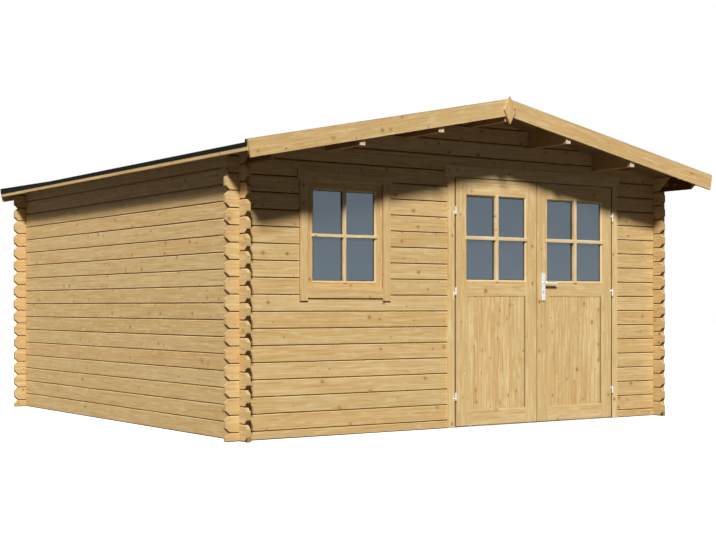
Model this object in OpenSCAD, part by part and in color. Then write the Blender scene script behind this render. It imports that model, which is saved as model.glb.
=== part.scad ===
// Log-built garden shed with a gable roof, a double door and one window.
// X runs along the door front, Y from the front to the back, Z up.
// The origin is on the ground, at the centre of the roof's outline.

/* [Log walls] */
// Width of the log box over the outer faces of its side walls
wall_w = 3940; // [3600:10:6000]
// Depth of the log box over the outer faces of its gable walls
wall_d = 3940; // [2000:10:6000]
// Height of one log, without its tongue
log_h = 115; // [100:1:140]
// Thickness of a log
log_t = 28; // [24:1:60]
// Number of logs in a side wall
log_rows = 17; // [15:1:21]
// How far a log runs past the wall that it crosses
log_end = 104; // [60:1:180]
// Length of the slope cut at each corner of a free log end
end_cut_l = 33; // [10:1:50]
// Height of the slope cut at each corner of a free log end
end_cut_h = 30; // [10:1:32]
// Bevel along the long edges of a log, which makes the V joint
log_bevel = 6; // [1:0.5:7]
// Width of a log's tongue
tongue_w = 9; // [6:1:12]
// Height of a log's tongue
tongue_h = 7; // [4:1:12]

/* [Roof] */
// Slope of the roof in degrees
roof_pitch = 11.4; // [6:0.2:25]
// Overhang past the side walls, measured level
eave_out = 182; // [120:1:400]
// Front overhang, to the face of the bargeboards
front_out = 440; // [200:5:700]
// Back overhang, to the face of the bargeboards
back_out = 126; // [120:1:400]
// Thickness of the roof boards
roof_board_t = 18; // [15:1:25]
// Thickness of the roofing felt
felt_t = 3; // [2:0.5:6]
// How far the felt is turned down over the eave, from its top
felt_drop = 28; // [22:1:40]
// Width of the batten under the eave edge
eave_batten_w = 20; // [15:1:40]
// Height of the batten under the eave edge
eave_batten_h = 32; // [20:1:60]
// Width of a bargeboard, square to the roof
barge_w = 120; // [80:1:180]
// Thickness of a bargeboard
barge_t = 18; // [15:1:28]
// How far a bargeboard stands above the felt
barge_up = 19; // [5:1:40]
// Width of the lath along each gable edge of the roof
lath_w = 28; // [20:1:50]
// Height of a purlin
purlin_h = 120; // [90:1:180]
// Width of a purlin
purlin_w = 45; // [35:1:80]
// Distance from the ridge to the middle of the inner purlins
purlin_inner = 598; // [400:1:900]
// Distance from the ridge to the middle of the outer purlins
purlin_outer = 1265; // [1000:1:1700]
// Height of the diamond plate over each gable's bargeboard joint
diamond_h = 200; // [120:1:300]
// Width of the diamond plate
diamond_w = 104; // [80:1:200]

/* [Window] */
// Middle of the window, from the outer face of the left wall
win_x = 849; // [700:1:900]
// Width of the hole in the logs for the window
win_hole_w = 697; // [500:1:800]
// Height of the sill above the ground, moved to the nearest log joint
win_sill = 978; // [700:1:1100]
// Height of the hole for the window, moved to the nearest log joint
win_hole_h = 805; // [500:1:850]
// Width of the boards that trim the window's sides
win_trim_w = 63; // [50:1:100]
// How far the side trim laps over the logs
win_trim_lap = 32; // [20:1:40]
// Thickness of the window's lining at the sides and at the top
lining_t = 15; // [12:1:30]
// Thickness of the window's sill
sill_t = 45; // [30:1:60]
// Width of the sash's stiles
sash_stile = 74; // [45:1:80]
// Height of the sash's bottom rail
sash_bottom = 54; // [45:1:80]
// Height of the sash's top rail
sash_top = 62; // [45:1:80]
// Thickness of the sash
sash_t = 36; // [28:1:44]

/* [Door] */
// Middle of the doorway, from the outer face of the left wall
door_x = 2619; // [2400:1:2700]
// Width of both leaves with the gap between them
leaves_w = 1597; // [1300:1:1700]
// Height of the doorway, moved to the nearest log joint
door_hole_h = 1897; // [1700:1:2100]
// Thickness of a leaf
leaf_t = 40; // [34:1:50]
// Width of a leaf's stiles
stile_w = 113; // [90:1:130]
// Height of a leaf's top rail
top_rail = 129; // [90:1:160]
// Height of a leaf's middle rail
mid_rail = 122; // [90:1:150]
// Height of a leaf's bottom rail
bottom_rail = 115; // [90:1:180]
// Height of the middle rail's top edge above the ground
glass_z = 1098; // [1000:1:1200]
// Space between the two leaves
middle_gap = 6; // [6:1:10]
// Space between a leaf and the frame
leaf_gap = 8; // [5:1:9]
// Bottom of the leaves above the ground
leaf_z = 11.5; // [11:0.5:20]
// Width of the door frame's face
jamb_w = 60.5; // [58:0.5:90]
// How far the door frame laps over the logs
jamb_lap = 32; // [20:1:40]
// How far the stop reaches in behind a leaf, from the frame's edge
stop_w = 18; // [12:1:25]
// Height of the trim board over the doorway
door_head_w = 80; // [60:1:120]

/* [Hardware] */
// Radius of a hinge's barrel
barrel_r = 6.5; // [6:0.5:8]
// Length of a hinge's barrel
barrel_l = 58; // [50:1:90]
// Distance from the bottom of a leaf to its lowest hinge
hinge_low = 220; // [150:1:300]
// Distance from the top of a leaf to its highest hinge
hinge_high = 241; // [150:1:300]
// Distance from the top edge of a leaf's middle rail down to its middle hinge
hinge_mid = 87; // [40:1:90]
// Radius of a hinge's pin
pin_r = 4; // [3:0.5:5]
// Height of the handle above the ground
handle_z = 1084; // [1040:1:1140]
// Distance from the leaf's edge to the handle's spindle
backset = 60; // [50:1:65]
// Length of the handle plate
plate_l = 210; // [180:1:240]
// Width of the handle plate
plate_w = 38; // [35:1:45]
// Thickness of the handle plate
plate_t = 8; // [5:1:10]
// Distance from the bottom of the handle plate up to the lever
plate_below = 139; // [110:1:150]
// Length of the lever from the spindle
lever_l = 116; // [100:1:150]
// Radius of the lever
lever_r = 9; // [7:0.5:11]
// Distance from the handle plate to the middle of the lever's grip
lever_out = 30; // [28:1:60]

/* [Floor] */
// Thickness of the floor boards
floor_t = 19; // [16:1:28]
// Height of the floor bearers
bearer_h = 38; // [30:1:60]
// Width of the floor bearers
bearer_w = 58; // [40:1:80]
// Number of floor bearers
bearers = 7; // [4:1:12]

/* [Hidden] */
$fn = 48;
seat = 0.3;             // space between pieces that rest on each other
log_gap = 0.4;          // space between two logs
notch_gap = 0.5;        // space beside a log in the notch of another
trim_t = 12;            // thickness of the window trim and of the door trim outside
inner_t = 20;           // thickness of the door trim inside
sash_in = 9;            // distance of the sash's face behind the logs' outer faces
opening_b = 10;         // bevel round each pane's opening, on the outer face
stop_gap = 5;           // space between a leaf and the stop behind it
stud_r = 3.5;           // radius of a hinge's stud
stud_l = 34;            // length of a hinge's stud from the hinge's axis
hinge_out = 9;          // distance from a leaf's face to the hinge's axis
pin_end = 4;            // how far a hinge's pin stops short of its upper barrel's end
run_gap = 0.05;         // running clearance round a pin
glass_t = 4;            // thickness of the glass
panel_t = 10;           // thickness of a door panel's edges in their grooves
panel_in = 3;           // distance of a panel's boards behind the leaf's face
panel_gap = 4;          // space between a panel's boards and the stiles
panel_slope = 10;       // height of the slope along the top edge of a leaf's bottom rail
rebate = 9;             // depth of the grooves for glass and panels
strip_t = 5;            // thickness of the metal threshold
floor_gap = 4;          // space round the floor boards
drip_drop = 22;         // distance from a leaf's top down to the drip groove in its top rail
drip_w = 4;             // width of that groove
drip_d = 3;             // depth of that groove
head_t = 38;            // height of the door head between the logs and the leaves' gap
head_lip = 3.5;         // height of the door head that shows under its trim
tongue_ease = 1;        // slope of a tongue's sides over its height
eps = 1;                // overrun of a cut past the face it cuts

wall_top = log_rows * log_h;
side_x = wall_w / 2;
front_y = (front_out - back_out - wall_d) / 2;
back_y = front_y + wall_d;
slope = tan(roof_pitch);
ridge_z = wall_top + side_x * slope;
face_y = front_y - trim_t;
inner_y = front_y + log_t + inner_t;
stop_y = face_y + leaf_t + stop_gap;
gable_rows = ceil(ridge_z / log_h - 0.5);

// Height of the nearest joint between two front logs
function joint_z(z) = (round(z / log_h - 0.5) + 0.5) * log_h;
// Underside of the roof boards at x
function roof_z(x) = ridge_z - abs(x) * slope;
// A distance square to the roof, measured upright
function upright(d) = d / cos(roof_pitch);

win_l = -side_x + win_x - win_hole_w / 2;
win_r = win_l + win_hole_w;
win_z0 = joint_z(win_sill);
win_z1 = joint_z(win_sill + win_hole_h);
door_mid = -side_x + door_x;
frame_in = leaves_w / 2 + leaf_gap;
door_l = door_mid - frame_in - jamb_w + jamb_lap;
door_r = door_mid + frame_in + jamb_w - jamb_lap;
door_top = joint_z(door_hole_h);
leaf_top = door_top - seat - head_t - leaf_gap;
head_trim_z = leaf_top + leaf_gap + head_lip + seat;
leaf_w = (leaves_w - middle_gap) / 2;
floor_z = bearer_h + floor_t;
hinge_y = face_y - hinge_out;
hinge_x = leaves_w / 2 + leaf_gap / 2;
hinge_heights = [leaf_z + hinge_low, glass_z - hinge_mid, leaf_top - hinge_high];

wood = "#d9b16a";
inner_wood = "#cfa45c";
felt = "#26262a";
zinc = "#d5d7d8";
pane = "#7d93a6";

// ---- Logs -------------------------------------------------------------

// Section of a log: bevelled edges, a tongue on top and a groove below
function log_section(h, tongue, groove) = let(
    m = log_t / 2,
    a = tongue_w / 2,
    g = tongue_w / 2 + log_gap,
    b = log_bevel,
    top = h - log_gap
) concat(
    [[b, 0]],
    groove ? [[m - g, 0], [m - g + tongue_ease, tongue_h + log_gap],
              [m + g - tongue_ease, tongue_h + log_gap], [m + g, 0]] : [],
    [[log_t - b, 0], [log_t, b], [log_t, top - b], [log_t - b, top]],
    tongue ? [[m + a, top], [m + a - tongue_ease, top + tongue_h],
              [m - a + tongue_ease, top + tongue_h], [m - a, top]] : [],
    [[b, top], [0, top - b], [0, b]]
);

// A log along X from x0 to x1, with its outer face on y = 0 and its bottom on z = 0.
// crossings lists where crossing walls begin; keep is the height range left there.
module log_bar(x0, x1, h, crossings = [], keep = [0, 0], free = [false, false],
               tongue = true, groove = true) {
    difference() {
        translate([x0, 0, 0])
            rotate([90, 0, 90])
                linear_extrude(x1 - x0)
                    polygon(log_section(h, tongue, groove));
        for (c = crossings) {
            translate([c - notch_gap, -eps, -eps])
                cube([log_t + 2 * notch_gap, log_t + 2 * eps, keep[0] + log_gap / 2 + eps]);
            translate([c - notch_gap, -eps, keep[1] - log_gap / 2])
                cube([log_t + 2 * notch_gap, log_t + 2 * eps, h]);
        }
        for (i = [0, 1]) {
            if (free[i]) {
                end_slope(i == 0 ? x0 : x1, i == 0 ? 1 : -1, h - log_gap, -1);
                if (groove) end_slope(i == 0 ? x0 : x1, i == 0 ? 1 : -1, 0, 1);
            }
        }
    }
}

// The wedge that is cut off a free log end at height z: dir points into the log
module end_slope(x, dir, z, up) {
    over = 3 * eps;
    k = (end_cut_l + over) / end_cut_l;
    translate([0, log_t + eps, 0])
        rotate([90, 0, 0])
            linear_extrude(log_t + 2 * eps)
                polygon([[x - dir * over, z - up * (tongue_h + over)],
                         [x - dir * over, z + up * end_cut_h * k],
                         [x + dir * end_cut_l, z],
                         [x + dir * end_cut_l, z - up * (tongue_h + over)]]);
}

// Everything below the roof boards, less a gap
module under_roof(gap) {
    far = side_x + eave_out;
    translate([0, back_y + back_out + eps, 0])
        rotate([90, 0, 0])
            linear_extrude(wall_d + front_out + back_out + 2 * eps)
                polygon([[-far, -eps], [far, -eps], [far, roof_z(far) - gap],
                         [0, ridge_z - gap], [-far, roof_z(far) - gap]]);
}

// Bottom and height of log number k of a gable wall, which starts on half a log
function gable_log_z(k) = k == 0 ? 0 : (k - 0.5) * log_h;
function gable_log_h(k) = k == 0 ? log_h / 2 : log_h;
function gable_log_keep(k) = k == 0 ? [-eps, log_h / 4] : [log_h / 4, 3 * log_h / 4];

corner_l = -side_x;
corner_r = side_x - log_t;

// One piece of gable log k between x0 and x1, which may pass the corners
module gable_log(k, x0, x1, y) {
    translate([0, y, gable_log_z(k)])
        log_bar(x0, x1, gable_log_h(k),
                crossings = concat(x0 < corner_l ? [corner_l] : [], x1 > side_x ? [corner_r] : []),
                keep = gable_log_keep(k), free = [x0 < corner_l, x1 > side_x],
                groove = k > 0);
}

x_start = -side_x - log_end;
x_stop = side_x + log_end;

// Logs that run on to the corners above the doorway, up to the ridge
module gable(y, first) {
    color(wood)
        difference() {
            intersection() {
                union()
                    for (k = [first:gable_rows])
                        gable_log(k, x_start, x_stop, y);
                under_roof(seat);
            }
            for (x = purlin_places()) purlin_hole(x);
        }
}

door_rows = round(door_top / log_h - 0.5);
wall_rows = log_rows - 1;

module front_wall_left() {
    color(wood)
        difference() {
            for (k = [0:door_rows])
                gable_log(k, x_start, door_l, front_y);
            box([win_l, front_y - eps, win_z0 - log_gap], [win_r, front_y + log_t + eps, win_z1]);
        }
}

module front_wall_right() {
    color(wood)
        for (k = [0:door_rows])
            gable_log(k, door_r, x_stop, front_y);
}

module front_gable() { gable(front_y, door_rows + 1); }

module back_wall() {
    color(wood)
        for (k = [0:wall_rows])
            gable_log(k, x_start, x_stop, back_y - log_t);
}

module back_gable() { gable(back_y - log_t, wall_rows + 1); }

// Side walls: side is -1 on the left and 1 on the right
module side_place(side, z) {
    translate([side < 0 ? -side_x : side_x, 0, z])
        mirror([side < 0 ? 0 : 1, 0, 0])
            mirror([1, -1, 0])
                children();
}

module side_wall(side) {
    color(wood)
        for (k = [0:log_rows - 2])
            side_place(side, k * log_h)
                log_bar(front_y - log_end, back_y + log_end, log_h,
                        crossings = [front_y, back_y - log_t],
                        keep = [log_h / 4, 3 * log_h / 4], free = [true, true],
                        groove = k > 0);
}

// The top log carries the roof's edge out to both pairs of bargeboards
module side_top_log(side) {
    taper = log_t * slope;
    color(wood)
        intersection() {
            side_place(side, (log_rows - 1) * log_h)
                difference() {
                    log_bar(front_y - front_out + barge_t + seat,
                            back_y + back_out - barge_t - seat, log_h + taper + log_gap + log_bevel,
                            crossings = [front_y, back_y - log_t],
                            keep = [log_h / 4, 3 * log_h / 4], tongue = false);
                    end_slope(front_y - front_out + barge_t + seat, 1, 0, 1);
                    end_slope(back_y + back_out - barge_t - seat, -1, 0, 1);
                }
            under_roof(seat);
        }
}

module left_wall() { side_wall(-1); }
module right_wall() { side_wall(1); }
module left_top_log() { side_top_log(-1); }
module right_top_log() { side_top_log(1); }

// ---- Roof -------------------------------------------------------------

function purlin_places() = [0, -purlin_inner, -purlin_outer, purlin_inner, purlin_outer];
function purlin_bottom(x) = roof_z(x) - purlin_h;
purlin_y0 = front_y - front_out + barge_t + seat;
purlin_y1 = back_y + back_out - barge_t - seat;

module purlin_hole(x) {
    translate([x - purlin_w / 2 - notch_gap, front_y - eps, purlin_bottom(x) - notch_gap])
        cube([purlin_w + 2 * notch_gap, wall_d + 2 * eps, purlin_h * 2]);
}

// A purlin along Y, whose top lies to the roof's slope
module purlin(x) {
    color(inner_wood)
        intersection() {
            translate([x - purlin_w / 2, purlin_y0, purlin_bottom(x)])
                cube([purlin_w, purlin_y1 - purlin_y0, purlin_h * 2]);
            under_roof(seat);
        }
}

module ridge_purlin() { purlin(0); }
module left_purlins() { for (x = [-purlin_inner, -purlin_outer]) purlin(x); }
module right_purlins() { for (x = [purlin_inner, purlin_outer]) purlin(x); }

roof_y0 = purlin_y0;
roof_y1 = purlin_y1;
eave_x = side_x + eave_out;

// A sloping plate on one side of the ridge, from low to high above the boards' underside
module roof_plate(side, low, high, y0, y1, out = 0) {
    far = eave_x + out;
    translate([0, y1, 0])
        rotate([90, 0, 0])
            linear_extrude(y1 - y0)
                polygon([[side * seat, ridge_z + upright(low)],
                         [side * far, roof_z(far) + upright(low)],
                         [side * far, roof_z(far) + upright(high)],
                         [side * seat, ridge_z + upright(high)]]);
}

boards_top = roof_board_t;
felt_low = boards_top + seat;
felt_high = felt_low + felt_t;

module roof_boards(side) {
    color(inner_wood) roof_plate(side, 0, boards_top, roof_y0, roof_y1);
}

module left_roof_boards() { roof_boards(-1); }
module right_roof_boards() { roof_boards(1); }

// The felt lies on the boards and is turned down over the eave
module roof_felt(side) {
    edge = eave_x + seat + felt_t;
    edge_top = roof_z(edge) + upright(felt_high);
    color(felt)
        translate([0, roof_y1, 0])
            rotate([90, 0, 0])
                linear_extrude(roof_y1 - roof_y0)
                    polygon([[side * seat, ridge_z + upright(felt_low)],
                             [side * (edge - felt_t), roof_z(edge - felt_t) + upright(felt_low)],
                             [side * (edge - felt_t), edge_top - felt_drop],
                             [side * edge, edge_top - felt_drop],
                             [side * edge, edge_top],
                             [side * seat, ridge_z + upright(felt_high)]]);
}

module left_roof_felt() { roof_felt(-1); }
module right_roof_felt() { roof_felt(1); }

// Battens under the eave edges, on which the felt is nailed
module eave_battens() {
    color(wood)
        for (side = [-1, 1])
            translate([0, roof_y1, 0])
                rotate([90, 0, 0])
                    linear_extrude(roof_y1 - roof_y0)
                        polygon([[side * eave_x, roof_z(eave_x) - seat],
                                 [side * (eave_x - eave_batten_w), roof_z(eave_x - eave_batten_w) - seat],
                                 [side * (eave_x - eave_batten_w), roof_z(eave_x) - eave_batten_h],
                                 [side * eave_x, roof_z(eave_x) - eave_batten_h]]);
}

// Laths on the felt along the gable edges, against the bargeboards
module roof_edge_laths() {
    color(felt)
        for (side = [-1, 1]) {
            roof_plate(side, felt_high + seat, felt_high + barge_up, roof_y0, roof_y0 + lath_w);
            roof_plate(side, felt_high + seat, felt_high + barge_up, roof_y1 - lath_w, roof_y1);
        }
}

// A bargeboard: plumb at the ridge and cut square at the eave
module bargeboard(side, y) {
    top = felt_high + barge_up;
    low_x = eave_x + felt_t + 2 * seat;
    foot_x = low_x - barge_w * sin(roof_pitch);
    color(wood)
        translate([0, y + barge_t, 0])
            rotate([90, 0, 0])
                linear_extrude(barge_t)
                    polygon([[side * seat, ridge_z + upright(top)],
                             [side * seat, ridge_z + upright(top - barge_w)],
                             [side * foot_x, roof_z(foot_x) + upright(top - barge_w)],
                             [side * low_x, roof_z(low_x) + upright(top)]]);
}

barge_front_y = front_y - front_out;
barge_back_y = back_y + back_out - barge_t;

module front_left_bargeboard() { bargeboard(-1, barge_front_y); }
module front_right_bargeboard() { bargeboard(1, barge_front_y); }
module back_left_bargeboard() { bargeboard(-1, barge_back_y); }
module back_right_bargeboard() { bargeboard(1, barge_back_y); }

// Diamond plates over the joints of the bargeboards
module gable_plates() {
    apex = ridge_z + upright(felt_high + barge_up);
    rise = 16;
    color(wood)
        for (y = [barge_front_y - seat, barge_back_y + 2 * barge_t + seat])
            translate([0, y, apex + rise - diamond_h / 2])
                rotate([90, 0, 0])
                    linear_extrude(barge_t)
                        polygon([[0, -diamond_h / 2], [diamond_w / 2, 0],
                                 [0, diamond_h / 2], [-diamond_w / 2, 0]]);
}

// ---- Window -----------------------------------------------------------

// A box from its lowest to its highest corner
module box(low, high) {
    translate(low) cube(high - low);
}

// Side, head and bottom boards round the window, with sides of width w
module window_trim_set(y, w) {
    l = win_l - win_trim_lap;
    r = win_r + win_trim_lap;
    head_z = win_z1 - lining_t;
    foot = 40;
    head_ear = 18;
    head_h = 77;
    bottom_lap = 20;
    box([l, y, win_z0 - foot], [l + w, y + trim_t, head_z - seat]);
    box([r - w, y, win_z0 - foot], [r, y + trim_t, head_z - seat]);
    box([l - head_ear, y, head_z], [r + head_ear, y + trim_t, head_z + head_h]);
    box([l + w + seat, y, win_z0 - bottom_lap], [r - w - seat, y + trim_t, win_z0 + sill_t]);
}

// Outside the trim laps over the sash; inside it stops at the lining
module window_trim() {
    color(wood) {
        window_trim_set(front_y - trim_t - seat, win_trim_w);
        window_trim_set(front_y + log_t + seat, win_trim_lap + lining_t);
    }
}

// Boards that line the hole in the logs
module window_lining() {
    y0 = front_y;
    y1 = front_y + log_t;
    l = win_l + seat;
    r = win_r - seat;
    z1 = win_z1 - seat;
    z0 = win_z0 + seat;
    color(wood) {
        box([l, y0, z0 + sill_t], [l + lining_t, y1, z1 - lining_t - seat]);
        box([r - lining_t, y0, z0 + sill_t], [r, y1, z1 - lining_t - seat]);
        box([l, y0, z1 - lining_t], [r, y1, z1]);
        box([l, y0, z0], [r, y1, z0 + sill_t - seat]);
    }
}

sash_l = win_l + lining_t + 2 * seat;
sash_r = win_r - lining_t - 2 * seat;
sash_z0 = win_z0 + sill_t + 2 * seat;
sash_z1 = win_z1 - lining_t - 2 * seat;
sash_y = front_y + sash_in;

// A groove that holds a pane or panel on all four sides
module pane_groove(l, r, z0, z1, y, t) {
    box([l - rebate, y - t / 2 - seat, z0 - rebate], [r + rebate, y + t / 2 + seat, z1 + rebate]);
}

// A pane or panel that sits in that groove
module pane_plate(l, r, z0, z1, y, t) {
    in = rebate - seat;
    box([l - in, y - t / 2, z0 - in], [r + in, y + t / 2, z1 + in]);
}

// What is cut off round an opening to bevel its edges on the face at y
module opening_bevel(l, r, z0, z1, y) {
    b = opening_b;
    over = b + eps;
    intersection() {
        translate([0, 0, z0 - over])
            linear_extrude(z1 - z0 + 2 * over)
                polygon([[l - over, y - eps], [r + over, y - eps], [r, y + b], [l, y + b]]);
        translate([l - over, 0, 0])
            rotate([90, 0, 90])
                linear_extrude(r - l + 2 * over)
                    polygon([[y - eps, z0 - over], [y + b, z0], [y + b, z1], [y - eps, z1 + over]]);
    }
}

module window_sash() {
    l = sash_l + sash_stile;
    r = sash_r - sash_stile;
    z0 = sash_z0 + sash_bottom;
    z1 = sash_z1 - sash_top;
    color(wood)
        difference() {
            union() {
                box([sash_l, sash_y, sash_z0], [l, sash_y + sash_t, sash_z1]);
                box([r, sash_y, sash_z0], [sash_r, sash_y + sash_t, sash_z1]);
                box([l + seat, sash_y, sash_z0], [r - seat, sash_y + sash_t, z0]);
                box([l + seat, sash_y, z1], [r - seat, sash_y + sash_t, sash_z1]);
            }
            pane_groove(l, r, z0, z1, sash_y + sash_t / 2, glass_t);
            opening_bevel(l, r, z0, z1, sash_y);
        }
}

module window_glass() {
    color(pane)
        pane_plate(sash_l + sash_stile, sash_r - sash_stile, sash_z0 + sash_bottom,
                   sash_z1 - sash_top, sash_y + sash_t / 2, glass_t);
}

// ---- Door frame -------------------------------------------------------

// Section of a jamb in plan, with the doorway towards +X and the logs' ends in its groove
function jamb_section() = let(
    y0 = face_y,
    y1 = inner_y,
    log0 = front_y - seat,
    log1 = front_y + log_t + seat,
    bed = jamb_lap + seat
) [[0, y0], [jamb_w, y0], [jamb_w, stop_y], [jamb_w + stop_w, stop_y], [jamb_w + stop_w, y1],
   [0, y1], [0, log1], [bed, log1], [bed, log0], [0, log0]];

module jamb(side) {
    translate([door_mid, 0, 0])
        mirror([side < 0 ? 0 : 1, 0, 0])
            translate([-frame_in - jamb_w, 0, 0])
                linear_extrude(head_trim_z - seat)
                    polygon(jamb_section());
}

// The studs of one leaf's hinges go slantwise into the wood
module stud_holes(x, dir) {
    for (z = hinge_heights)
        for (part = [-1, 1])
            translate([x, hinge_y, z + part * barrel_l / 4])
                rotate([0, 90, dir])
                    cylinder(r = stud_r + seat / 2, h = stud_l + seat);
}

// The head: a rail between the jambs with a stop, let in between the logs above
module door_head() {
    z_head = leaf_top + leaf_gap;
    log1 = front_y + log_t;
    under_trim = head_trim_z - seat;
    w = frame_in - seat;
    translate([door_mid - w + stop_w, 0, 0])
        rotate([90, 0, 90])
            linear_extrude(2 * (w - stop_w))
                polygon([[face_y, z_head], [stop_y, z_head], [stop_y, z_head - stop_w],
                         [inner_y, z_head - stop_w], [inner_y, under_trim],
                         [log1, under_trim], [log1, door_top - seat],
                         [front_y, door_top - seat], [front_y, under_trim],
                         [face_y, under_trim]]);
    box([door_mid - w, face_y, z_head], [door_mid + w, stop_y - seat, under_trim]);
    box([door_l + seat, front_y, head_trim_z], [door_r - seat, log1, door_top - seat]);
}

module door_frame() {
    color(wood)
        difference() {
            union() {
                jamb(-1);
                jamb(1);
                door_head();
            }
            stud_holes(door_mid - hinge_x, 135);
            stud_holes(door_mid + hinge_x, 45);
        }
}

module door_head_trim() {
    ear = 20;
    w = frame_in + jamb_w + ear;
    color(wood) {
        box([door_mid - w, face_y, head_trim_z],
            [door_mid + w, front_y - seat, head_trim_z + door_head_w]);
        box([door_mid - w, front_y + log_t + seat, head_trim_z],
            [door_mid + w, inner_y, head_trim_z + door_head_w]);
    }
}

// Metal strip under the leaves, with a lip behind them
module door_threshold() {
    lip_t = 3;
    lip_z = 22;
    nose = 4;
    nose_h = 2;
    w = frame_in - stop_w - seat;
    color(zinc)
        translate([door_mid - w, 0, 0])
            rotate([90, 0, 90])
                linear_extrude(2 * w)
                    polygon([[face_y - nose, 0], [stop_y + lip_t, 0], [stop_y + lip_t, lip_z],
                             [stop_y, lip_z], [stop_y, strip_t], [face_y, strip_t],
                             [face_y - nose, nose_h]]);
}

// ---- Hinges -----------------------------------------------------------

barrel_gap = 0.4; // space between the two halves of a hinge's barrel

// Lower half of a hinge, with the pin and the stud in the frame
module hinge_below(dir) {
    translate([0, 0, -barrel_l / 2])
        cylinder(r = barrel_r, h = barrel_l / 2 - barrel_gap / 2);
    translate([0, 0, -eps])
        cylinder(r = pin_r, h = barrel_l / 2 - pin_end);
    translate([0, 0, -barrel_l / 4])
        rotate([0, 90, dir])
            cylinder(r = stud_r, h = stud_l);
}

// Upper half of a hinge, with the stud in the leaf
module hinge_above(dir) {
    difference() {
        union() {
            translate([0, 0, barrel_gap / 2])
                cylinder(r = barrel_r, h = barrel_l / 2 - barrel_gap / 2);
            translate([0, 0, barrel_l / 4])
                rotate([0, 90, dir])
                    cylinder(r = stud_r, h = stud_l);
        }
        translate([0, 0, -eps])
            cylinder(r = pin_r + run_gap, h = barrel_l / 2 - pin_end + eps);
    }
}

module frame_hinges() {
    color(zinc)
        for (z = hinge_heights) {
            translate([door_mid - hinge_x, hinge_y, z]) hinge_below(135);
            translate([door_mid + hinge_x, hinge_y, z]) hinge_below(45);
        }
}

module left_leaf_hinges() {
    color(zinc)
        for (z = hinge_heights)
            translate([door_mid - hinge_x, hinge_y, z]) hinge_above(45);
}

module right_leaf_hinges() {
    color(zinc)
        for (z = hinge_heights)
            translate([door_mid + hinge_x, hinge_y, z]) hinge_above(135);
}

// ---- Leaves -----------------------------------------------------------

pane_y = face_y + leaf_t / 2;
panel_z0 = leaf_z + bottom_rail;
panel_z1 = glass_z - mid_rail;
glass_z1 = leaf_top - top_rail;
spindle_r = 6;

// Left edge of a leaf
function leaf_x(side) = side < 0 ? door_mid - leaves_w / 2 : door_mid + middle_gap / 2;
spindle_x = leaf_x(1) + backset;

// What is cut off a bottom rail between l and r, so that its top edge at z sheds water
module rail_slope(l, r, y, z) {
    k = panel_slope / panel_in;
    translate([l, 0, 0])
        rotate([90, 0, 90])
            linear_extrude(r - l)
                polygon([[y - eps, z - k * (panel_in + eps)], [y + panel_in + eps / k, z + eps],
                         [y - eps, z + eps]]);
}

// Two stiles and three rails, grooved for the glass and the panel, with a drip groove on top
module leaf_frame(side) {
    x0 = leaf_x(side);
    x1 = x0 + leaf_w;
    y0 = face_y;
    y1 = face_y + leaf_t;
    l = x0 + stile_w;
    r = x1 - stile_w;
    drip_z = leaf_top - drip_drop;
    difference() {
        union() {
            box([x0, y0, leaf_z], [l, y1, leaf_top]);
            box([r, y0, leaf_z], [x1, y1, leaf_top]);
            box([l + seat, y0, glass_z1], [r - seat, y1, leaf_top]);
            box([l + seat, y0, panel_z1], [r - seat, y1, glass_z]);
            box([l + seat, y0, leaf_z], [r - seat, y1, panel_z0]);
        }
        pane_groove(l, r, glass_z, glass_z1, pane_y, glass_t);
        pane_groove(l, r, panel_z0, panel_z1, pane_y, panel_t);
        opening_bevel(l, r, glass_z, glass_z1, y0);
        rail_slope(l, r, y0, panel_z0);
        box([l, y0 - eps, drip_z - drip_w], [r, y0 + drip_d, drip_z]);
        stud_holes(door_mid + side * hinge_x, side < 0 ? 45 : 135);
        if (side > 0)
            translate([spindle_x, y0 - eps, handle_z])
                rotate([-90, 0, 0])
                    cylinder(r = spindle_r + seat, h = leaf_t + 2 * eps);
    }
}

module leaf_glass(side) {
    x0 = leaf_x(side);
    pane_plate(x0 + stile_w, x0 + leaf_w - stile_w, glass_z, glass_z1, pane_y, glass_t);
}

// A panel with thinner edges in the grooves; its boards come out nearly to the leaf's face
module leaf_panel(side) {
    l = leaf_x(side) + stile_w;
    r = leaf_x(side) + leaf_w - stile_w;
    pane_plate(l, r, panel_z0, panel_z1, pane_y, panel_t);
    box([l + panel_gap, face_y + panel_in, panel_z0 + seat],
        [r - panel_gap, pane_y + panel_t / 2, panel_z1 - seat]);
}

module left_leaf_frame() { color(wood) leaf_frame(-1); }
module right_leaf_frame() { color(wood) leaf_frame(1); }
module left_leaf_panel() { color(wood) leaf_panel(-1); }
module right_leaf_panel() { color(wood) leaf_panel(1); }
module left_leaf_glass() { color(pane) leaf_glass(-1); }
module right_leaf_glass() { color(pane) leaf_glass(1); }

// ---- Handle -----------------------------------------------------------

// A plate with round corners, a hole for the lever's neck and a keyhole
module handle_plate() {
    c = 6;
    key_drop = 72;
    key_r = 5;
    key_l = 15;
    translate([0, 0, -plate_below])
        difference() {
            union() {
                box([-plate_w / 2, 0, c], [plate_w / 2, plate_t, plate_l - c]);
                box([-plate_w / 2 + c, 0, 0], [plate_w / 2 - c, plate_t, plate_l]);
                for (x = [-1, 1])
                    for (z = [c, plate_l - c])
                        translate([x * (plate_w / 2 - c), 0, z])
                            rotate([-90, 0, 0])
                                cylinder(r = c, h = plate_t);
            }
            translate([0, -eps, plate_below])
                rotate([-90, 0, 0])
                    cylinder(r = lever_r + 1, h = plate_t + 2 * eps);
            translate([0, -eps, plate_below - key_drop])
                rotate([-90, 0, 0])
                    cylinder(r = key_r, h = plate_t + 2 * eps);
            box([-key_r / 2, -eps, plate_below - key_drop - key_l],
                [key_r / 2, plate_t + eps, plate_below - key_drop]);
        }
}

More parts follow.
